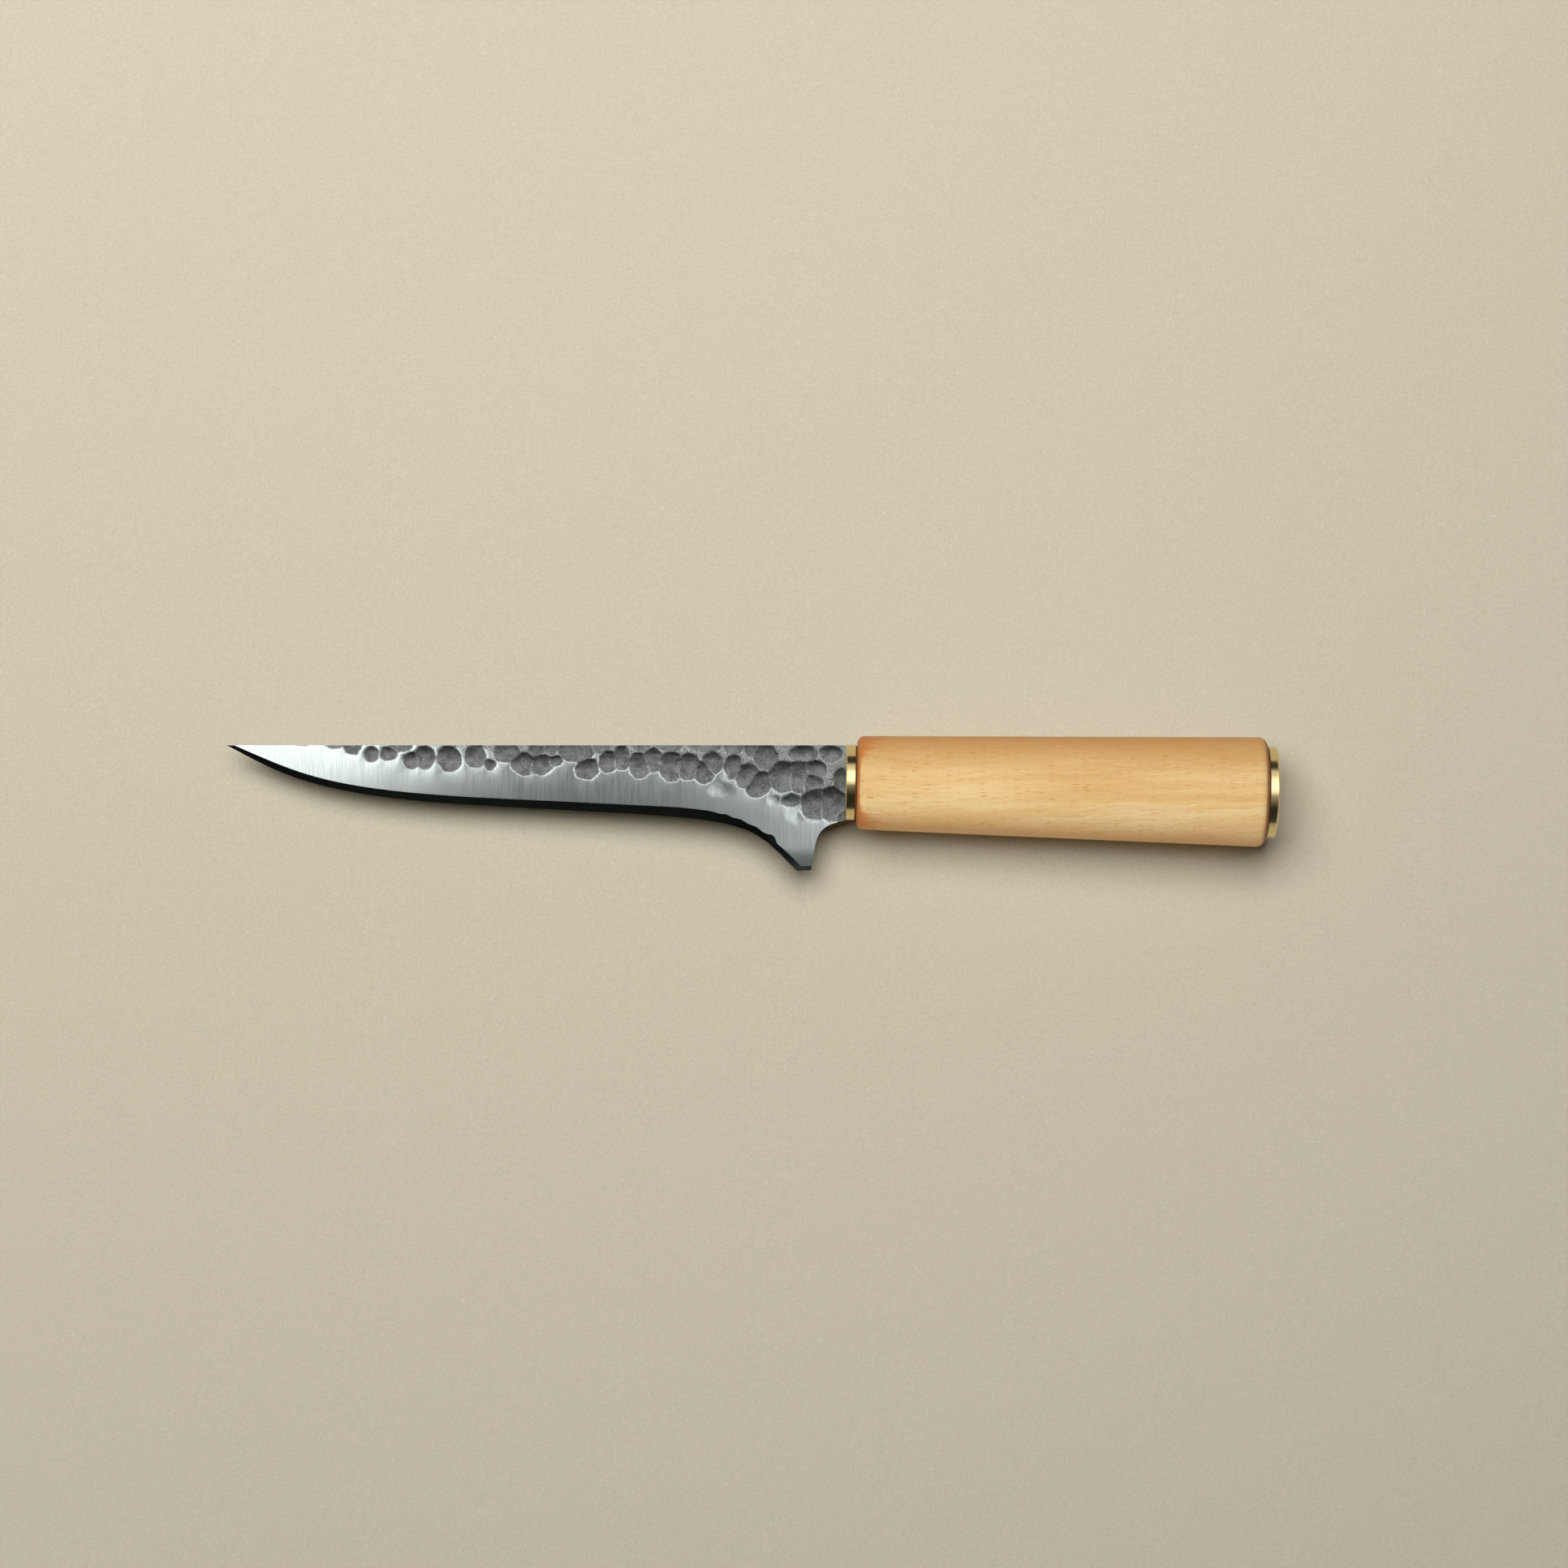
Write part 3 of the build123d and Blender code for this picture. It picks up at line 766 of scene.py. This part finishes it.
def reflected_studio(tree):
    """The brightness that shiny surfaces see in each direction of the dim room.

    lean is the angle from straight up towards the spine's side, and side the one towards the
    butt, both in degrees. Each remap gives the angles between which a light's edge fades.
    """
    direction = node(tree, "ShaderNodeTexCoord").outputs["Generated"]
    axes = node(tree, "ShaderNodeSeparateXYZ", {0: direction}).outputs
    lean = calc(tree, "DEGREES", calc(tree, "ARCTAN2", axes["Y"], axes["Z"]))
    side = calc(tree, "DEGREES", calc(tree, "ARCTAN2", axes["X"], axes["Z"]))

    # A long panel on the spine's side
    off_centre = calc(tree, "ABSOLUTE", calc(tree, "SUBTRACT", lean, PANEL_LEAN))
    hot_spot = remap(tree, off_centre, 8, 32, *PANEL_BRIGHTNESS)
    panel = calc(tree, "MULTIPLY", hot_spot, remap(tree, lean, -0.5, 7))
    # A window right above, split in a part on the tip's side and one on the heel's
    slanted = calc(tree, "MULTIPLY_ADD", calc(tree, "ADD", lean, 4), -0.6, side)
    tip_side = remap(tree, slanted, -6.8, -5.7, TIP_WINDOW_BRIGHTNESS, 0.0)
    heel_side = remap(tree, side, -1.3, -0.2, 0.0, HEEL_WINDOW_BRIGHTNESS)
    window = calc(tree, "ADD", tip_side, heel_side)
    window = calc(tree, "MULTIPLY", window, remap(tree, lean, -8.2, -3.2))
    window = calc(tree, "MULTIPLY", window, remap(tree, lean, 2, 10, 1, 0))
    # Weaker light that spills to the edge's side, and no lamp near the horizon
    spill = remap(tree, side, -1.0, 2.0, 0, SPILL_BRIGHTNESS)
    spill = calc(tree, "MULTIPLY", spill, remap(tree, lean, -42, -2))
    glow = calc(tree, "MAXIMUM", calc(tree, "MAXIMUM", panel, window), spill)
    glow = calc(tree, "MULTIPLY", glow, remap(tree, lean, 52, 64, 1, 0))
    off_side = calc(tree, "ABSOLUTE", side)
    glow = calc(tree, "MULTIPLY", glow, remap(tree, off_side, 50, 75, 1, 0))
    room = remap(tree, off_side, 35, 60, ROOM_BRIGHTNESS, HORIZON_BRIGHTNESS)
    return calc(tree, "ADD", glow, room)


def build_world():
    """A dim room with soft lights for reflections, a little fill, and a pale backdrop."""
    world = bpy.data.worlds.new("studio")
    world.use_nodes = True
    tree = world.node_tree
    tree.nodes.clear()
    reflected = mix(tree, 1.0, (1.0, 0.99, 0.96, 1), reflected_studio(tree), how="MULTIPLY")
    path = node(tree, "ShaderNodeLightPath").outputs
    seen = mix(tree, path["Is Glossy Ray"], FILL, reflected)
    seen = mix(tree, path["Is Camera Ray"], seen, paint(192, 186, 167))
    background = node(tree, "ShaderNodeBackground", {"Color": seen})
    output = node(tree, "ShaderNodeOutputWorld")
    tree.links.new(background.outputs[0], output.inputs[0])
    bpy.context.scene.world = world


def clothe(name, material):
    """Gives a CAD node its material, and smooth shading between its sharp edges."""
    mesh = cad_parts[name].data
    mesh.materials.clear()
    mesh.materials.append(material)
    mesh.shade_smooth()
    mesh.set_sharp_from_angle(angle=radians(SMOOTH_BELOW))


def main():
    """Dresses the CAD nodes, puts the hammered blade in and builds the studio."""
    brass, dark_fibre, plated = turned_brass(), fibre(), plated_steel()
    clothe("ferrule", brass)
    clothe("butt_cap", brass)
    clothe("front_spacer", dark_fibre)
    clothe("rear_spacer", dark_fibre)
    clothe("grip", beech())
    clothe("tang_bedding", epoxy())
    for name in ("tang_stud", "stud_washer", "stud_nut"):
        clothe(name, plated)

    blade = build_blade([steel_flat(), steel_bevel(), steel_rim()])
    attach(blade, "root")
    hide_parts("blade")

    shoulder = Vector((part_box("ferrule")[0].x, 0, 0))
    aim = shoulder + Vector(PICTURE_CENTRE).to_3d() * MM
    build_floor()
    build_camera(aim)
    build_light("softbox", aim, SOFTBOX_SIZE, SOFTBOX_DISTANCE, SOFTBOX_DIRECTION, SOFTBOX_POWER)
    reflector = build_light("reflector", aim, REFLECTOR_SIZE, REFLECTOR_DISTANCE,
                            REFLECTOR_DIRECTION, REFLECTOR_POWER)
    reflector.light_linking.receiver_collection = knife_pieces(blade)
    build_world()
    bpy.context.scene.view_settings.view_transform = "Standard"


main()
